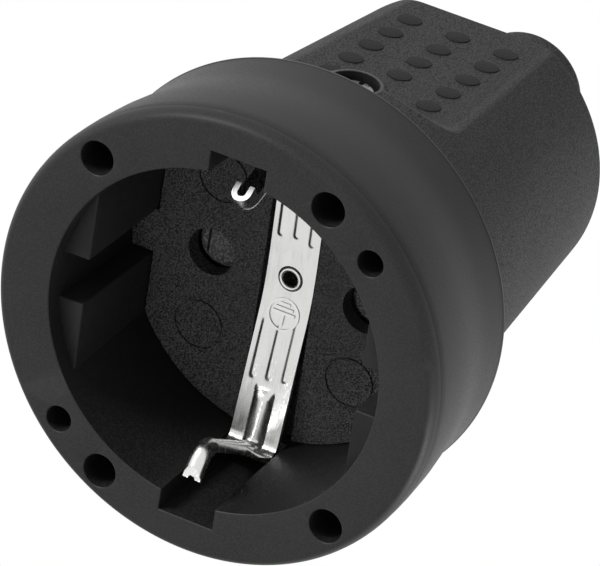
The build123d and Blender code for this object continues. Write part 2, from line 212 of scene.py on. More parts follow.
def useGroup(tree, group, vector, **values):
    node = addNode(tree, "ShaderNodeGroup", node_tree=group)
    tree.links.new(vector, node.inputs["Vector"])
    for key, value in values.items():
        if isinstance(value, (int, float)):
            node.inputs[key].default_value = value
        else:
            tree.links.new(value, node.inputs[key])
    return node


def useWear(tree, coords, amount):
    geometry = addNode(tree, "ShaderNodeNewGeometry")
    return useGroup(tree, wearGroup, coords, Pointiness=geometry.outputs["Pointiness"],
                    Amount=amount).outputs["Mask"]


def mixColour(tree, factor, a, b):
    node = addNode(tree, "ShaderNodeMix", data_type="RGBA")
    tree.links.new(factor, node.inputs["Factor"])
    for key, value in (("A", a), ("B", b)):
        socket = [s for s in node.inputs if s.name == key and s.type == "RGBA"][0]
        if isinstance(value, tuple):
            socket.default_value = (*value, 1.0)
        else:
            tree.links.new(value, socket)
    return [s for s in node.outputs if s.type == "RGBA"][0]


def addBump(tree, shader, height, strength, distance):
    bump = addNode(tree, "ShaderNodeBump")
    bump.inputs["Strength"].default_value = strength
    bump.inputs["Distance"].default_value = distance * mm
    tree.links.new(height, bump.inputs["Height"])
    tree.links.new(bump.outputs["Normal"], shader.inputs["Normal"])


def startMaterial(name):
    material = bpy.data.materials.new(name)
    material.use_nodes = True
    tree = material.node_tree
    tree.nodes.clear()
    output = addNode(tree, "ShaderNodeOutputMaterial")
    shader = addNode(tree, "ShaderNodeBsdfPrincipled")
    tree.links.new(shader.outputs[0], output.inputs["Surface"])
    coords = addNode(tree, "ShaderNodeTexCoord").outputs["Object"]
    return material, tree, shader, coords


def grey(level, blue=0.0):
    return (level, level, level + blue)


# housing: sizes that both its shape and its material read
housing = {
    "steps": 320, "ringOuter": 25.2, "flange": 26.25, "roundDepth": 1.75, "roundTurn": 9,
    "collarEnd": 19.7, "barrel": 21.45, "taper": 0.098, "barrelEnd": 59.5, "barrelRound": 0.9,
    "neck": 6.9, "neckEnd": 77.0, "neckRound": 1.0, "bore": 4.4, "boreStart": 56.5,
    "flat": 15.56, "flatZ": 53.3, "slope": 0.073, "wallZ": 27.6, "cove": 3.8,
    "flatRound": 0.45, "wallRound": 0.22, "roundChange": (29.0, 34.0),
    "bossZ": 26.85, "boss": 3.7, "bossBlend": 0.5}


def diagonal(tree, a, b):
    squares = [addMath(tree, "POWER", side, 2.0) for side in (a, b)]
    return addMath(tree, "POWER", addMath(tree, "ADD", *squares), 0.5)


def distanceFrom(tree, value, place):
    return addMath(tree, "ABSOLUTE", addMath(tree, "SUBTRACT", value, place))


def slopedLine(tree, z, level, slope, levelZ):
    # the radius or height that is level at levelZ and falls towards the neck
    return addMath(tree, "ADD", addMath(tree, "MULTIPLY", z, -slope), (level + slope * levelZ) * mm)


def thinLine(tree, value, place, half):
    # full at its place and gone at half its width to either side
    return rangeMm(tree, distanceFrom(tree, value, place * mm), (0.4 * half, half), 1.0, 0.0)


def borderMask(tree, y, z, out, border):
    # near the edge where the grip's flats and their coves leave the round barrel
    cove = housing["cove"] * mm
    flat = slopedLine(tree, z, housing["flat"], housing["slope"], housing["flatZ"])
    overFlat = addMath(tree, "SUBTRACT", flat, addMath(tree, "ABSOLUTE", y))
    side = addMath(tree, "MAXIMUM", addMath(tree, "ADD", overFlat, cove), 0.0)
    wall = addMath(tree, "SUBTRACT", (housing["wallZ"] + housing["cove"]) * mm, z)
    foot = addMath(tree, "MAXIMUM", wall, 0.0)
    cut = distanceFrom(tree, diagonal(tree, side, foot), cove)
    barrel = slopedLine(tree, z, housing["barrel"], housing["taper"], housing["collarEnd"])
    apart = addMath(tree, "ADD", cut, distanceFrom(tree, out, barrel))
    near = rangeMm(tree, apart, (0.3 * border["width"], border["width"]), 1.0, 0.0)
    return addMath(tree, "MULTIPLY", near, rangeMm(tree, z, border["from"]))


def finishHousing(tree, values, coords, colour, rough, height, spots, marks):
    # the open face is smooth, the collar has a soft grain, and the grip behind it is rough
    split = addNode(tree, "ShaderNodeSeparateXYZ")
    tree.links.new(coords, split.inputs[0])
    x, y, z = split.outputs
    out = diagonal(tree, x, y)
    face, collar, grip = values["zoneBump"]
    onCollar = rangeMm(tree, z, values["collarFrom"], face, collar)
    onGrip = rangeMm(tree, z, values["gripFrom"])
    zone = addMath(tree, "ADD", onCollar, addMath(tree, "MULTIPLY", onGrip, grip - collar))
    height = addMath(tree, "MULTIPLY", height, zone)
    rougher = addMath(tree, "MULTIPLY", onGrip, values["gripRough"])
    rough = addMath(tree, "ADD", rough, rougher, clamp=True)
    gripColour = mixColour(tree, spots, values["gripBase"], values["gripSpot"])
    colour = mixColour(tree, onGrip, colour, gripColour)
    # painted highlight on the lip at the mould's parting line, interrupted here and there
    partingHighlight = values["partingHighlight"]
    line = addMath(tree, "MULTIPLY", thinLine(tree, z, partingHighlight["z"], partingHighlight["half"]),
                   addMath(tree, "GREATER_THAN", out, partingHighlight["outside"] * mm))
    broken = addMath(tree, "MULTIPLY", line, rangeOf(tree, marks, (0.0, 0.3), 0.45, 1.0))
    # painted highlight along the borders of the flats
    borderHighlight = addMath(tree, "MULTIPLY", borderMask(tree, y, z, out, values["border"]),
                     rangeOf(tree, spots, (0.0, 1.0), 0.5, 1.0))
    # and a painted highlight on the rim of the screw's recess
    rim = values["rim"]
    ring = diagonal(tree, x, addMath(tree, "SUBTRACT", z, housing["bossZ"] * mm))
    recessRimHighlight = addMath(tree, "MULTIPLY", thinLine(tree, ring, rim["radius"], rim["half"]),
                    addMath(tree, "GREATER_THAN", y, rim["outside"] * mm))
    # the three lines are painted highlights, mixed in as one pale grey
    for mask in (broken, borderHighlight, recessRimHighlight):
        colour = mixColour(tree, mask, colour, values["paintedHighlightColour"])
    return colour, rough, height


# moulded black materials: base, pale spots, dust and worn edges; grain and bump in millimetres
def makeMoulded(name, values):
    material, tree, shader, coords = startMaterial(name)
    grain = useGroup(tree, grainGroup, coords, Size=values["grain"], Pits=values["pits"])
    spots, height = grain.outputs["Spots"], grain.outputs["Height"]
    marks = useGroup(tree, marksGroup, coords, Amount=values["marks"]).outputs["Mask"]
    speckled = mixColour(tree, spots, values["base"], values["spot"])
    marked = mixColour(tree, marks, speckled, values["dust"])
    colour = mixColour(tree, useWear(tree, coords, values["wear"]), marked, values["worn"])
    rough = addMath(tree, "ADD", rangeOf(tree, spots, (0.0, 1.0), *values["rough"]),
                    addMath(tree, "MULTIPLY", marks, 0.15), clamp=True)
    if "zoneBump" in values:
        colour, rough, height = finishHousing(tree, values, coords, colour, rough, height, spots, marks)
    tree.links.new(colour, shader.inputs["Base Color"])
    tree.links.new(rough, shader.inputs["Roughness"])
    addBump(tree, shader, height, values["bumpStrength"], values["bump"])
    shader.inputs["Specular IOR Level"].default_value = values["specular"]
    return material


housingRubber = makeMoulded("housingRubber", {
    "base": grey(0.029, 0.001), "spot": grey(0.042, 0.001), "dust": grey(0.054, 0.001),
    "worn": grey(0.11), "grain": 0.17, "pits": 0.6, "bump": 0.08, "bumpStrength": 1.0,
    "rough": (0.42, 0.54), "wear": 0.3, "marks": 0.35, "specular": 0.14,
    "zoneBump": (0.1, 0.2, 1.0), "collarFrom": (1.8, 2.6), "gripFrom": (19.6, 20.2),
    "gripRough": 0.2, "gripBase": grey(0.022, 0.001), "gripSpot": grey(0.092, 0.001),
    # the parting line, the flats' borders and the recess rim get painted highlights in a pale grey
    "partingHighlight": {"z": 19.55, "half": 0.2, "outside": 24.3}, "paintedHighlightColour": grey(0.13),
    "border": {"width": 0.4, "from": (25.5, 26.2)},
    "rim": {"radius": 3.05, "half": 0.22, "outside": 16.5}})
# much darker and a little rougher rubber for the well, the holes and the screw's recess: its darkness is
# painted shade
shadedRecessRubber = makeMoulded("shadedRecessRubber", {
    "base": grey(0.008), "spot": grey(0.013), "dust": grey(0.020), "worn": grey(0.05),
    "grain": 0.3, "pits": 0.4, "bump": 0.03, "bumpStrength": 0.6,
    "rough": (0.5, 0.62), "wear": 0.5, "marks": 0.3, "specular": 0.2})
insertPlastic = makeMoulded("insertPlastic", {
    "base": grey(0.009, 0.001), "spot": grey(0.12), "dust": grey(0.035, 0.001),
    "worn": grey(0.08), "grain": 0.14, "pits": 0.8, "bump": 0.12, "bumpStrength": 1.0,
    "rough": (0.26, 0.42), "wear": 0.2, "marks": 0.25, "specular": 0.45})
shutterPlastic = makeMoulded("shutterPlastic", {
    "base": grey(0.025, 0.001), "spot": grey(0.19), "dust": grey(0.09), "worn": grey(0.15),
    "grain": 0.2, "pits": 0.5, "bump": 0.08, "bumpStrength": 0.7,
    "rough": (0.4, 0.52), "wear": 0.4, "marks": 0.3, "specular": 0.5})
dotRubber = makeMoulded("dotRubber", {
    "base": grey(0.012, 0.001), "spot": grey(0.030, 0.001), "dust": grey(0.02),
    "worn": grey(0.05), "grain": 0.2, "pits": 0.5, "bump": 0.06, "bumpStrength": 0.9,
    "rough": (0.6, 0.75), "wear": 0.3, "marks": 0.2, "specular": 0.12})


# metals: fine drawing lines along one axis, a little tarnish, brighter edges
def makeMetal(name, values):
    material, tree, shader, coords = startMaterial(name)
    mapping = addNode(tree, "ShaderNodeMapping")
    mapping.inputs["Scale"].default_value = values["stretch"]
    tree.links.new(coords, mapping.inputs["Vector"])
    lines = addNoise(tree, mapping.outputs[0], 1000.0 / values["line"], 4.0)
    marks = useGroup(tree, marksGroup, coords, Amount=values["tarnish"]).outputs["Mask"]
    tarnished = mixColour(tree, marks, values["base"], values["dull"])
    colour = mixColour(tree, useWear(tree, coords, values["wear"]), tarnished, values["bright"])
    rough = addMath(tree, "ADD", rangeOf(tree, lines, (0.3, 0.7), *values["rough"]),
                    addMath(tree, "MULTIPLY", marks, 0.2), clamp=True)
    tree.links.new(colour, shader.inputs["Base Color"])
    tree.links.new(rough, shader.inputs["Roughness"])
    shader.inputs["Metallic"].default_value = 1.0
    addBump(tree, shader, lines, 0.5, values["bump"])
    return material


earthNickel = makeMetal("earthNickel", {
    "base": grey(0.72, -0.01), "dull": grey(0.56, -0.01), "bright": grey(0.88, -0.01),
    "line": 0.5, "stretch": (1, 0.12, 1), "rough": (0.16, 0.30), "bump": 0.006,
    "tarnish": 0.25, "wear": 0.4})
shearedNickel = makeMetal("shearedNickel", {
    "base": grey(0.84, -0.01), "dull": grey(0.55, -0.01), "bright": grey(0.95),
    "line": 0.2, "stretch": (1, 1, 1), "rough": (0.4, 0.65), "bump": 0.06,
    "tarnish": 0.5, "wear": 0.4})
# a darker metal for the sign's steep sides: painted shade for their dark outlines
signSideShade = makeMetal("signSideShade", {
    "base": grey(0.30), "dull": grey(0.2), "bright": grey(0.5),
    "line": 0.3, "stretch": (1, 1, 1), "rough": (0.3, 0.4), "bump": 0.004,
    "tarnish": 0.2, "wear": 0.2})
contactBrass = makeMetal("contactBrass", {
    "base": (0.72, 0.52, 0.26), "dull": (0.42, 0.29, 0.15), "bright": (0.85, 0.68, 0.38),
    "line": 0.5, "stretch": (1, 1, 0.15), "rough": (0.2, 0.36), "bump": 0.008,
    "tarnish": 0.5, "wear": 0.4})
springSteel = makeMetal("springSteel", {
    "base": grey(0.36, 0.02), "dull": grey(0.2, 0.03), "bright": grey(0.6),
    "line": 0.3, "stretch": (1, 1, 0.2), "rough": (0.24, 0.4), "bump": 0.006,
    "tarnish": 0.5, "wear": 0.4})
zincSteel = makeMetal("zincSteel", {
    "base": grey(0.46, -0.01), "dull": grey(0.32, -0.01), "bright": grey(0.62),
    "line": 0.4, "stretch": (1, 1, 1), "rough": (0.2, 0.36), "bump": 0.01,
    "tarnish": 0.4, "wear": 0.5})

nodeFinishes = (
    (housingRubber, "housing"),
    (insertPlastic, "face_plate", "contact_base", "terminal_carrier", "cord_clamp_bar"),
    (shutterPlastic, "shutter"),
    (springSteel, "shutter_spring", "line_clip", "neutral_clip"),
    (earthNickel, "earth_strip", "earth_eyelet"),
    (contactBrass, "earth_link", "earth_terminal", "line_contact", "neutral_contact"),
    (zincSteel, "terminal_screws", "cord_clamp_screws", "cord_clamp_nuts", "housing_screw",
     "housing_nut"))
for nodeMaterial, *nodeNames in nodeFinishes:
    for nodeName in nodeNames:
        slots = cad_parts[nodeName].data.materials
        if not slots:
            slots.append(nodeMaterial)
        for index in range(len(slots)):
            slots[index] = nodeMaterial
print("materials made", len(bpy.data.materials))


# camera at the photograph's viewing angle
cameraValues = {"place": (-0.258604, 0.356242, -0.572057), "lens": 409.59, "sensor": 36.0,
                "turn": (0.216144, -0.12449, -0.941001, -0.228695), "clip": (0.05, 20.0)}
cameraData = bpy.data.cameras.new("viewCamera")
cameraData.lens = cameraValues["lens"]
cameraData.sensor_width = cameraValues["sensor"]
cameraData.clip_start, cameraData.clip_end = cameraValues["clip"]
camera = bpy.data.objects.new("viewCamera", cameraData)
camera.location = cameraValues["place"]
camera.rotation_mode = "QUATERNION"
camera.rotation_quaternion = Quaternion(cameraValues["turn"])
bpy.context.scene.collection.objects.link(camera)
bpy.context.scene.camera = camera


# housing outside: a turned shell whose grip is then pulled in to its flats
shell = {
    # the collar's radius and height, from the step behind the ring to the foot of the barrel
    "collar": ((26.17, 1.84), (26.17, 1.98), (26.22, 2.1), (26.22, 3.2), (26.15, 4.6),
               (26.02, 6.2), (25.86, 8.0), (25.6, 9.8), (25.34, 11.6), (25.1, 13.2),
               (24.96, 14.6), (24.9, 16.0), (24.88, 17.8), (24.88, 19.3), (24.95, 19.42),
               (24.95, 19.58), (24.84, 19.7), (24.5, 19.74), (23.4, 19.76), (22.3, 19.8),
               (21.75, 19.92)),
    # rows of points on the barrel by height, and on its end by the tilt of their rays
    "barrelRows": ((20.2, 22.4, 0.5), (22.5, 33.0, 0.25), (33.3, 56.1, 0.57)),
    "endTilts": ((1.5, 8.9, 1.0), (9.2, 15.4, 0.35)), "lastTilts": (16.2, 17.5, 19.0, 20.8, 22.6),
    "rayZ": 56.0, "rayRadius": 15.0, "rayStep": 0.1,
    # offsets from the neck and the barrel's end, and from the bore and the neck's end
    "neckFoot": ((0.7, 0.0), (0.35, 0.08), (0.1, 0.3), (0.0, 0.7)), "neckRows": (61.5, 75.9, 1.6),
    "neckTurn": 15, "boreRim": ((0.25, 0.0), (0.07, -0.07), (0.0, -0.25)),
    "boreRows": (74.0, 56.0, -3.0),
    "reach": 40.0, "halvings": 34, "coneScale": 0.995}


def flatAt(z):
    return housing["flat"] + housing["slope"] * (housing["flatZ"] - z)


def barrelAt(z):
    return housing["barrel"] - housing["taper"] * (z - housing["collarEnd"])


def gripDistance(p):
    # below zero inside the grip; p is rows of x, y, z
    x, y, z = p[:, 0], p[:, 1], p[:, 2]
    body = roundMax((np.hypot(x, y) - barrelAt(z)) * shell["coneScale"], z - housing["barrelEnd"],
                    housing["barrelRound"])
    soft = np.interp(z, housing["roundChange"], (housing["wallRound"], housing["flatRound"]))
    for side in (1, -1):
        cut = roundMax(flatAt(z) - side * y, housing["wallZ"] - z, housing["cove"])
        if side == 1:
            boss = housing["boss"] - np.hypot(x, z - housing["bossZ"])
            cut = roundMax(cut, boss, housing["bossBlend"])
        body = roundMax(body, -cut, soft)
    return body


def pullToGrip(start, direction):
    # walks out from the axis until the surface is met
    near, far = np.zeros(len(start)), np.full(len(start), shell["reach"])
    for turn in range(shell["halvings"]):
        middle = (near + far) / 2
        inside = gripDistance(start + direction * middle[:, None]) < 0
        near, far = np.where(inside, middle, near), np.where(inside, far, middle)
    return start + direction * near[:, None]


def shellRows():
    # radius, height, and for the grip the height and tilt of the ray that finds its surface
    wide, depth = housing["flange"] - housing["ringOuter"], housing["roundDepth"]
    arc = [math.radians(turn) for turn in range(0, 91, housing["roundTurn"])]
    rows = [(housing["ringOuter"] + wide * math.sin(a), depth * (1 - math.cos(a)), None) for a in arc]
    rows += [(r, z, None) for r, z in shell["collar"]]
    heights = np.concatenate([np.arange(*span) for span in shell["barrelRows"]])
    rows += [(barrelAt(z), z, (z, 0.0)) for z in heights]
    tilts = np.concatenate([np.arange(*span) for span in shell["endTilts"]] + [shell["lastTilts"]])
    rows += [(shell["rayRadius"] - shell["rayStep"] * t, housing["barrelEnd"], (shell["rayZ"], t))
             for t in tilts]
    neck, end, bore = housing["neck"], housing["neckEnd"], housing["bore"]
    rows += [(neck + r, housing["barrelEnd"] + z, None) for r, z in shell["neckFoot"]]
    rows += [(neck, z, None) for z in np.arange(*shell["neckRows"])]
    edge = housing["neckRound"]
    for turn in range(0, 91, shell["neckTurn"]):
        a = math.radians(turn)
        rows.append((neck - edge + edge * math.cos(a), end - edge + edge * math.sin(a), None))
    rows += [(bore + r, end + z, None) for r, z in shell["boreRim"]]
    rows += [(bore, z, None) for z in np.arange(*shell["boreRows"])]
    return rows + [(bore, housing["boreStart"], None)]


def makeShell():
    bm = bmesh.new()
    rows = shellRows()
    spinProfile(bm, [(r, 0, z) for r, z, ray in rows], housing["steps"])
    # each vertex of the grip finds its ray again by its radius and height
    lookup = {(round(r, 3), round(z, 3)): ray for r, z, ray in rows if ray is not None}
    picked, origins, aims = [], [], []
    for v in bm.verts:
        ray = lookup.get((round(math.hypot(v.co.x, v.co.y), 3), round(v.co.z, 3)))
        if ray is None:
            continue
        a, t = math.atan2(v.co.y, v.co.x), math.radians(ray[1])
        picked.append(v)
        origins.append((0, 0, ray[0]))
        aims.append((math.cos(a) * math.cos(t), math.sin(a) * math.cos(t), math.sin(t)))
    places = pullToGrip(np.array(origins, float), np.array(aims))
    for v, place in zip(picked, places):
        v.co = Vector(place)
    # the screw's recess goes through the skin
    centres = {f: f.calc_center_median() for f in bm.faces}
    gone = [f for f, c in centres.items() if c.y > recess["skinY"]
            and math.hypot(c.x, c.z - housing["bossZ"]) < recess["cut"]]
    bmesh.ops.delete(bm, geom=gone, context="FACES")
    print("shell", len(bm.faces), "faces,", len(picked), "points pulled in")
    return bm


# ring around the screw's recess: its lip follows the barrel down to fadeFrom, and is level below
recess = {"hole": 2.8, "lip": 3.35, "floorY": 17.2, "rise": 0.07, "shank": 1.6, "steps": 72,
          "cut": 3.0, "skinY": 15, "fadeFrom": 0.6, "fade": 0.8}


def addRecess(bm):
    ring = bmesh.new()
    z = housing["bossZ"]
    top = barrelAt(z)
    hole, lip, rise, shank = recess["hole"], recess["lip"], recess["rise"], recess["shank"]
    floorY = recess["floorY"] - top
    profile = [(lip + 0.25, -0.5), (lip + 0.1, -0.12), (lip - 0.05, 0.0), (lip - 0.2, rise),
               (hole + 0.12, rise), (hole + 0.02, 0.0), (hole, -0.12), (hole, -1.2),
               (hole, floorY + 0.2), (hole - 0.1, floorY), (shank, floorY), (shank, -5.0)]
    spinProfile(ring, [(r, top + y, z) for r, y in profile], recess["steps"], axis=(0, 1, 0),
                centre=(0, 0, z))
    for v in ring.verts:
        depth = top - v.co.y
        follow = max(0.0, min(1.0, 1 - (depth - recess["fadeFrom"]) / recess["fade"]))
        v.co.y += follow * (math.sqrt(barrelAt(v.co.z) ** 2 - v.co.x ** 2) - top)
    addTo(bm, ring)


# open face, six blind holes, the well's wall and its four ribs
well = {
    "radius": 19.8, "floorRadius": 19.35, "depth": 17.6, "notchHalf": 3.3, "notchReach": 22.0,
    "arcSteps": 66, "chord": 16.5, "channelHalf": 2.7, "ribStart": 2.2, "ribRound": 0.45,
    "ribSunk": 0.3, "ribSteps": 10, "rimRound": 0.22,
    "holeCircle": 23.0, "holeDepth": 6.0, "holeSteps": 40, "largeHole": 1.95, "smallHole": 1.5,
    "largeAngles": (45.0, 118.2, 225.0, 298.2), "smallAngles": (136.0, 316.0),
    "shadedOut": 22.9, "holesOut": 24.99, "shadedFrom": 0.35}


def wellOutline():
    points = []
    half = math.degrees(math.asin(well["notchHalf"] / well["radius"]))
    for side in (90, 270):
        s = 1 if side == 90 else -1
        points += [(s * well["notchHalf"], s * well["notchReach"]),
                   (-s * well["notchHalf"], s * well["notchReach"])]
        for k in range(well["arcSteps"] + 1):
            a = math.radians(side + half + (180 - 2 * half) * k / well["arcSteps"])
            points.append((well["radius"] * math.cos(a), well["radius"] * math.sin(a)))
    return points


def circleEdges(bm, radius, segments, place=Matrix()):
    made = bmesh.ops.create_circle(bm, cap_ends=False, radius=radius, segments=segments,
                                   matrix=place)
    return list({e for v in made["verts"] for e in v.link_edges})


def makeFace():
    bm = bmesh.new()
    rimEdges = circleEdges(bm, housing["ringOuter"], housing["steps"])
    wellEdges = chain(bm, [(x, y, 0) for x, y in wellOutline()], close=True)[1]
    holes = []
    for size in ("large", "small"):
        for angle in well[size + "Angles"]:
            a = math.radians(angle)
            centre = (well["holeCircle"] * math.cos(a), well["holeCircle"] * math.sin(a), 0)
            holes.append(circleEdges(bm, well[size + "Hole"], well["holeSteps"],
                                     Matrix.Translation(centre)))
    inner = wellEdges + [e for edges in holes for e in edges]
    bmesh.ops.triangle_fill(bm, use_beauty=True, use_dissolve=False, edges=rimEdges + inner,
                            normal=(0, 0, -1))
    # wall of the well, drawn in a little towards its floor
    made = bmesh.ops.extrude_edge_only(bm, edges=wellEdges)
    narrow = well["floorRadius"] / well["radius"]
    for v in newVerts(made):
        if abs(v.co.y) < well["notchReach"] - 0.1:
            v.co.x, v.co.y = v.co.x * narrow, v.co.y * narrow
        v.co.z = well["depth"]
    for edges in holes:
        low = newVerts(bmesh.ops.extrude_edge_only(bm, edges=edges))
        for v in low:
            v.co.z = well["holeDepth"]
        bmesh.ops.contextual_create(bm, geom=low)
    bevelEdges(bm, [e for e in inner if e.is_valid], well["rimRound"], 3)
    return bm


def addRibs(bm):
    reach, steps = well["radius"] + well["ribSunk"], well["ribSteps"]
    low, high = math.asin(well["channelHalf"] / reach), math.acos(well["chord"] / reach)
    turns = [low + (high - low) * k / steps for k in range(steps + 1)]
    outline = [(well["chord"], well["channelHalf"])]
    outline += [(reach * math.cos(a), reach * math.sin(a)) for a in turns]
    for sx in (1, -1):
        for sy in (1, -1):
            rib = bmesh.new()
            base = rib.faces.new([rib.verts.new((sx * x, sy * y, well["ribStart"])) for x, y in outline])
            for v in newVerts(bmesh.ops.extrude_face_region(rib, geom=[base])):
                v.co.z = well["depth"]
            bmesh.ops.recalc_face_normals(rib, faces=rib.faces)
            soft = [e for e in rib.edges if len(e.link_faces) == 2 and e.calc_face_angle(0) > 0.6
                    and min(v.co.z for v in e.verts) < well["depth"] - 1]
            bevelEdges(rib, soft, well["ribRound"], 3)
            addTo(bm, rib)


def inShadedRecess(face):
    # what lies inside the face ring's rims, or in the screw's recess: it gets painted shade
    c = face.calc_center_median()
    out = math.hypot(c.x, c.y)
    inWell = out < well["shadedOut"] and c.z < well["depth"] + 0.1
    inHole = out < well["holesOut"] and c.z < well["holeDepth"] + 0.1
    below = c.z > well["shadedFrom"] or abs(face.normal.z) < 0.3
    inRecess = c.y > 16 and math.hypot(c.x, c.z - housing["bossZ"]) < recess["hole"] + 0.01
    return (inWell or inHole) and below or inRecess


def makeHousing():
    bm = makeShell()
    bmesh.ops.recalc_face_normals(bm, faces=bm.faces)
    face = makeFace()
    bmesh.ops.recalc_face_normals(face, faces=face.faces)
    ringFaces = [f for f in face.faces if abs(f.calc_center_median().z) < 0.01]
    if sum(f.normal.z * f.calc_area() for f in ringFaces) > 0:
        bmesh.ops.reverse_faces(face, faces=face.faces)
    addTo(bm, face)
    ring = bmesh.new()
    addRecess(ring)
    bmesh.ops.recalc_face_normals(ring, faces=ring.faces)
    addTo(bm, ring)
    addRibs(bm)
    bmesh.ops.remove_doubles(bm, verts=bm.verts, dist=0.002)
    # surfaces in the hollows get the much darker rubber: painted shade
    for f in bm.faces:
        if inShadedRecess(f):
            f.material_index = 1
    skin = newObject("housingSkin", bm, housingRubber, recalc=False, sharp=28)
    skin.data.materials.append(shadedRecessRubber)
    return skin


housingSkin = makeHousing()
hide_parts("housing")
print("housing made")


# raised dots on the two grip flats, with room for the screw on the upper one
dots = {"radius": 1.46, "rise": 0.14, "sunk": 0.4, "draft": 0.05, "edge": 0.08, "segments": 36,
        "pitch": 4.87, "column": 6.0, "lastZ": 53.4, "rows": 5}


def makeDots():
    bm = bmesh.new()
    places = [(side, row, column) for side in (1, -1) for row in range(dots["rows"])
              for column in (-1, 0, 1)]
    places.remove((1, dots["rows"] - 1, 0))
    for side, row, column in places:
        z = dots["lastZ"] - row * dots["pitch"]
        dot = bmesh.new()
        bmesh.ops.create_cone(dot, cap_ends=True, segments=dots["segments"],
                              radius1=dots["radius"], radius2=dots["radius"] - dots["draft"],
                              depth=dots["rise"] + dots["sunk"])
        bmesh.ops.translate(dot, vec=(0, 0, (dots["rise"] - dots["sunk"]) / 2), verts=dot.verts)
        top = [e for e in dot.edges if all(v.co.z > dots["rise"] - 0.01 for v in e.verts)]
        bevelEdges(dot, top, dots["edge"], 3)
        tilt = Matrix.Rotation(math.radians(-90) + math.atan(housing["slope"]), 4, "X")
        if side == -1:
            tilt = Matrix.Rotation(math.pi, 4, "Z") @ tilt
        place = Matrix.Translation((column * dots["column"], side * flatAt(z), z))
        bmesh.ops.transform(dot, matrix=place @ tilt, verts=dot.verts)
        addTo(bm, dot)
    return newObject("gripDots", bm, dotRubber)


gripDots = makeDots()
print("dots made")


# earth strip: one sheet, stamped and bent, with a half-tube arm at each end
strip = {
    "halfWidth": 2.9, "mid": 18.35, "thick": 0.6, "flatHalf": 2.5, "wallY": 20.5,
    "bendRound": 1.5, "rootRound": 24.0, "elbowRound": 1.6, "bendSteps": 12,
    "tube": 1.1, "tipSlope": 0.7, "tipZ": 0.04, "tipRough": 0.12, "tipWaves": (9, 5),
    "across": 54, "alongStep": 0.17, "beadHeight": 0.82, "beadHalf": 1.2, "beadSwell": 1.5,
    "foldFrom": 0.2, "foldOver": 3.4, "ribHeight": 0.125, "ribHalf": 0.52, "ribColumn": 1.9,
    "ribRamp": 0.5, "hole": 1.5, "armsZ": 10}
stripEnds = {
    "upper": {"side": 1, "rise": 0.7, "elbow": (15.6, 3.3), "tipRun": 1.9, "leg": 1.0,
              "beadFrom": 12.6, "ribs": ((4.5, 11.6), (4.9, 11.6), (4.6, 11.6))},
    "lower": {"side": -1, "rise": 3.5, "elbow": (14.0, 2.4), "tipRun": 3.05, "leg": 0.15,
              "beadFrom": 12.5, "ribs": ((5.2, 12.4), (5.4, 12.1), (4.5, 11.8))}}


def roundedPath(corners, radii, step):
    # samples of a polyline whose corners are arcs
    points = [np.array(corners[0], float)]
    for k in range(1, len(corners) - 1):
        a, b, c = (np.array(corners[k + d], float) for d in (-1, 0, 1))
        u, v = (a - b) / np.linalg.norm(a - b), (c - b) / np.linalg.norm(c - b)
        half = math.acos(np.clip(u @ v, -1, 1)) / 2
        back = radii[k] / math.tan(half)
        centre = b + (u + v) / np.linalg.norm(u + v) * radii[k] / math.sin(half)
        first, last = b + u * back - centre, b + v * back - centre
        turn = math.atan2(first[0] * last[1] - first[1] * last[0], first @ last)
        for t in np.linspace(0, 1, strip["bendSteps"]):
            ca, sa = math.cos(turn * t), math.sin(turn * t)
            points.append(centre + np.array((ca * first[0] - sa * first[1],
                                             sa * first[0] + ca * first[1])))
    points.append(np.array(corners[-1], float))
    points = np.array(points)
    lengths = np.concatenate([[0], np.cumsum(np.linalg.norm(np.diff(points, axis=0), axis=1))])
    samples = np.linspace(0, lengths[-1], int(lengths[-1] / step))
    return np.column_stack([np.interp(samples, lengths, points[:, k]) for k in (0, 1)]), samples


def smoothStep(x, low, high):
    t = np.clip((x - low) / (high - low), 0, 1)
    return t * t * (3 - 2 * t)


def stripSection(u, y, s, sCorner, end):
    # place across the sheet: sideways and towards the well's mouth, for u from -1 to 1
    x, h = u * strip["halfWidth"], strip["thick"] / 2
    onBar, ramp = s < sCorner, strip["ribRamp"]
    for column, (low, high) in zip((-1, 0, 1), end["ribs"]):
        starts, ends = smoothStep(y, low, low + ramp), smoothStep(y, high - ramp, high)
        along = starts * (1 - ends) if onBar else 0.0
        across = abs(x - column * strip["ribColumn"]) / strip["ribHalf"]
        h += along * strip["ribHeight"] * 0.5 * (1 + math.cos(math.pi * min(1.0, across)))
    # the bead swells up before the bend and goes on as the arm
    if abs(x) < strip["beadHalf"]:
        swell = smoothStep(y, end["beadFrom"], end["beadFrom"] + strip["beadSwell"]) if onBar else 1.0
        h += swell * strip["beadHeight"] * math.sqrt(1 - (x / strip["beadHalf"]) ** 2)
    # behind the bend the flanges fold down into a half tube
    fold = float(smoothStep(s, sCorner + strip["foldFrom"], sCorner + strip["foldOver"]))
    tube = strip["tube"]
    quarter = tube * math.pi / 2
    full = u * (quarter + end["leg"])
    if abs(full) < quarter:
        tubeX, tubeH = tube * math.sin(full / tube), tube * math.cos(full / tube)
    else:
        tubeX, tubeH = math.copysign(tube, full), -(abs(full) - quarter)
    return x * (1 - fold) + tubeX * fold, h * (1 - fold) + tubeH * fold


def tipOf(end):
    return np.array(end["elbow"]) + end["tipRun"] * np.array((1, -strip["tipSlope"]))


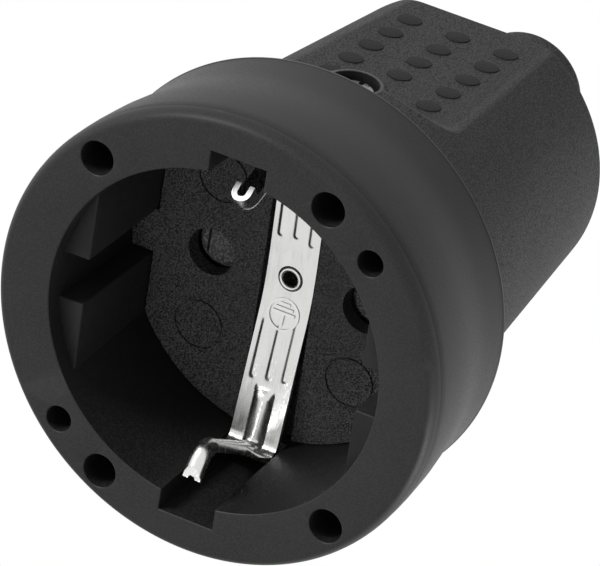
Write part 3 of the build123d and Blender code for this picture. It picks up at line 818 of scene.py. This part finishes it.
def makeStripEnd(end):
    side, corner = end["side"], (strip["wallY"], strip["mid"] - end["rise"])
    middle, flat = (0, strip["mid"]), (strip["flatHalf"], strip["mid"])
    corners = [middle, flat, corner, end["elbow"], tipOf(end)]
    radii = [0, strip["rootRound"], strip["bendRound"], strip["elbowRound"], 0]
    path, samples = roundedPath(corners, radii, strip["alongStep"])
    sCorner = math.dist(middle, flat) + math.dist(flat, corner)
    tangents = np.gradient(path, axis=0)
    tangents /= np.linalg.norm(tangents, axis=1)[:, None]
    bm = bmesh.new()
    count = len(path)
    bmesh.ops.create_grid(bm, x_segments=strip["across"], y_segments=count - 1, size=0.5)
    for v in bm.verts:
        u = v.co.x * 2
        k = int(round((v.co.y + 0.5) * (count - 1)))
        y, z = path[k]
        ty, tz = tangents[k]
        x, h = stripSection(u * side, y, samples[k], sCorner, end)
        v.co = Vector((side * x, side * (y + h * tz), z - h * ty))
    return bm


def atTip(face):
    # true for what lies at the very end of an arm
    place = face.calc_center_median()
    tipY, tipZ = tipOf(stripEnds["upper" if place.y > 0 else "lower"])
    past = (abs(place.y) - tipY) - (place.z - tipZ) * strip["tipSlope"]
    return place.z < 6 and past > -0.03


def makeStrip():
    bm = bmesh.new()
    for end in stripEnds.values():
        addTo(bm, makeStripEnd(end))
    bmesh.ops.remove_doubles(bm, verts=bm.verts, dist=0.01)
    centres = {f: f.calc_center_median() for f in bm.faces}
    gone = [f for f, c in centres.items()
            if math.hypot(c.x, c.y) < strip["hole"] and c.z > strip["armsZ"]]
    bmesh.ops.delete(bm, geom=gone, context="FACES")
    # the hole's ragged rim is drawn onto a circle
    for v in bm.verts:
        reach = math.hypot(v.co.x, v.co.y)
        if v.is_boundary and reach < strip["hole"] + 0.3 and v.co.z > strip["armsZ"]:
            v.co.x, v.co.y = v.co.x * strip["hole"] / reach, v.co.y * strip["hole"] / reach
    # outside towards the mouth of the well, so that the wall grows away from it
    bmesh.ops.recalc_face_normals(bm, faces=bm.faces)
    beside = Vector((2.2, 0, strip["mid"]))
    middle = min(bm.faces, key=lambda f: (f.calc_center_median() - beside).length)
    if middle.normal.z > 0:
        bmesh.ops.reverse_faces(bm, faces=bm.faces)
    bmesh.ops.solidify(bm, geom=bm.faces, thickness=strip["thick"])
    # whatever reaches the plane of the face is sheared off just behind it, a little ragged
    made = bmesh.ops.bisect_plane(bm, geom=bm.verts[:] + bm.edges[:] + bm.faces[:], dist=0.0005,
                                  plane_co=(0, 0, strip["tipZ"]), plane_no=(0, 0, -1),
                                  clear_outer=True)
    cut = [g for g in made["geom_cut"] if isinstance(g, bmesh.types.BMEdge)]
    filled = bmesh.ops.holes_fill(bm, edges=cut, sides=0)
    waveX, waveY = strip["tipWaves"]
    for v in {v for e in cut if e.is_valid for v in e.verts}:
        v.co.z += strip["tipRough"] * (0.5 + 0.5 * math.sin(waveX * v.co.x + waveY * v.co.y))
    sheared = bmesh.ops.triangulate(bm, faces=filled["faces"])["faces"]
    # sheared faces are bright and rough: the ones just cut, and both arms' ends
    for f in sheared + [f for f in bm.faces if atTip(f)]:
        f.material_index = 1
    return bm


stripSkin = newObject("earthStripSkin", makeStrip(), earthNickel, sharp=40)
stripSkin.data.materials.append(shearedNickel)
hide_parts("earth_strip")
print("strip made")


# hollow rivet: a rolled rim on the strip, its bore and its tail behind
rivet = {"front": 17.78, "rim": 1.42, "bore": 0.88, "seat": 18.1, "shank": 1.2, "tail": 2.2,
         "tailFrom": 30.0, "tailTo": 31.2, "steps": 64, "rimTurn": 18}


def makeRivet():
    bm = bmesh.new()
    front, rim, bore, shank = rivet["front"], rivet["rim"], rivet["bore"], rivet["shank"]
    middle, half = (rim + bore) / 2, (rim - bore) / 2
    profile = [(shank, rivet["tailFrom"]), (shank, rivet["seat"]), (rim, rivet["seat"])]
    for turn in range(0, 181, rivet["rimTurn"]):
        a = math.radians(turn)
        profile.append((middle + half * math.cos(a), front + half - half * math.sin(a)))
    profile += [(bore + 0.02, rivet["seat"] + 0.3), (bore, rivet["tailTo"]),
                (rivet["tail"], rivet["tailTo"]), (rivet["tail"], rivet["tailFrom"])]
    spinProfile(bm, [(r, 0, z) for r, z in profile + profile[:1]], rivet["steps"])
    return bm


rivetSkin = newObject("earthRivet", makeRivet(), earthNickel, sharp=40)
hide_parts("earth_eyelet")
print("rivet made")


# common sign of an earth contact, stamped on the strip below the rivet: ring, stem, three bars
earthSign = {"y": -4.3, "radius": 1.9, "line": 0.24, "rise": 0.17, "sunk": 0.15, "steps": 72,
             "stem": 1.75, "barWidth": 0.3, "bars": ((2.7, 0.15), (2.1, 0.68), (1.2, 1.2))}


def makeSign():
    bm = bmesh.new()
    low, high = -earthSign["sunk"], earthSign["rise"]
    outer, inner = earthSign["radius"], earthSign["radius"] - earthSign["line"]
    ring = [(outer, 0, low), (outer, 0, high), (inner, 0, high), (inner, 0, low), (outer, 0, low)]
    spinProfile(bm, ring, earthSign["steps"])
    width, stem = earthSign["barWidth"], earthSign["stem"]
    pieces = [(length, width, y) for length, y in earthSign["bars"]] + [(width, stem, -stem / 2)]
    for sizeX, sizeY, y in pieces:
        size = Matrix.Diagonal((sizeX, sizeY, high - low, 1))
        bmesh.ops.create_cube(bm, size=1, matrix=Matrix.Translation((0, y, (high + low) / 2)) @ size)
    # the steep sides get a darker metal than the top: painted shade
    bm.normal_update()
    for f in bm.faces:
        f.material_index = 1 if abs(f.normal.z) < 0.5 else 0
    fall = math.atan2(stripEnds["lower"]["rise"], strip["wallY"] - strip["flatHalf"])
    down = (abs(earthSign["y"]) - strip["flatHalf"]) * math.tan(fall)
    depth = strip["mid"] - strip["thick"] / 2 - down
    place = (Matrix.Translation((0, earthSign["y"], depth)) @ Matrix.Rotation(fall, 4, "X")
             @ Matrix.Rotation(math.pi, 4, "Y"))
    bmesh.ops.transform(bm, matrix=place, verts=bm.verts)
    return bm


signPiece = newObject("earthSign", makeSign(), earthNickel, sharp=30)
signPiece.data.materials.append(signSideShade)
print("sign made")


# floor: pale, seen from above only, so that the camera under it sees the open face
floorValues = {"half": 1.5, "drop": 0.0001, "colour": (0.86, 0.86, 0.86), "rough": 0.9}
floorBm = bmesh.new()
bmesh.ops.create_grid(floorBm, x_segments=2, y_segments=2, size=floorValues["half"])
floorMesh = bpy.data.meshes.new("floor")
floorBm.to_mesh(floorMesh)
floorBm.free()
floorMesh.transform(Matrix.Translation((0, 0, -floorValues["drop"])))
floor = bpy.data.objects.new("floor", floorMesh)
bpy.context.scene.collection.objects.link(floor)
floorMaterial, tree, shader, coords = startMaterial("floorPaper")
shader.inputs["Base Color"].default_value = (*floorValues["colour"], 1)
shader.inputs["Roughness"].default_value = floorValues["rough"]
clear = addNode(tree, "ShaderNodeBsdfTransparent")
mixer = addNode(tree, "ShaderNodeMixShader")
tree.links.new(addNode(tree, "ShaderNodeNewGeometry").outputs["Backfacing"], mixer.inputs["Fac"])
tree.links.new(shader.outputs[0], mixer.inputs[1])
tree.links.new(clear.outputs[0], mixer.inputs[2])
tree.links.new(mixer.outputs[0], tree.nodes["Material Output"].inputs["Surface"])
floorMesh.materials.append(floorMaterial)
floor.visible_shadow = False
floor.visible_diffuse = False
floor.visible_glossy = False


# light: white surroundings for the eye and for reflections, softer for the diffuse light
light = {"ambient": 0.24, "seen": 1.0, "aim": (0, 0, 0.03)}
# the lamps above and in front only brighten, so that neither collar nor strip mirrors them
lamps = {
    "keyLamp": {"place": (0.55, 0.75, -0.4), "size": 0.35, "power": 7.6, "mirrored": True},
    "frontLamp": {"place": (0.0, 0.0, -0.95), "size": 0.4, "power": 2.1, "mirrored": False},
    "rimLamp": {"place": (-0.7, -0.6, 0.1), "size": 0.4, "power": 5.4, "mirrored": True},
    "overLamp": {"place": (-0.15, -0.3, 1.1), "size": 0.7, "power": 9.0, "mirrored": False}}


def makeWorld():
    world = bpy.data.worlds.new("studioWorld")
    world.use_nodes = True
    bpy.context.scene.world = world
    tree = world.node_tree
    tree.nodes.clear()
    path = addNode(tree, "ShaderNodeLightPath").outputs
    reflected = addMath(tree, "MAXIMUM", path["Is Glossy Ray"], path["Is Transmission Ray"])
    blend = addNode(tree, "ShaderNodeMixShader")
    tree.links.new(addMath(tree, "MAXIMUM", path["Is Camera Ray"], reflected), blend.inputs["Fac"])
    for socket, strength in zip(blend.inputs[1:], (light["ambient"], light["seen"])):
        white = addNode(tree, "ShaderNodeBackground")
        white.inputs["Color"].default_value = (1, 1, 1, 1)
        white.inputs["Strength"].default_value = strength
        tree.links.new(white.outputs[0], socket)
    tree.links.new(blend.outputs[0], addNode(tree, "ShaderNodeOutputWorld").inputs["Surface"])


def addLamp(name, place, size, power, mirrored):
    data = bpy.data.lights.new(name, "AREA")
    data.shape = "DISK"
    data.size = size
    data.energy = power
    lamp = bpy.data.objects.new(name, data)
    lamp.location = place
    lamp.rotation_mode = "QUATERNION"
    lamp.rotation_quaternion = (Vector(light["aim"]) - Vector(place)).to_track_quat("-Z", "Y")
    lamp.visible_glossy = mirrored
    bpy.context.scene.collection.objects.link(lamp)


makeWorld()
for lampName, lampValues in lamps.items():
    addLamp(lampName, **lampValues)
print("lights made", len(lamps))

bpy.context.scene.view_settings.view_transform = "Standard"
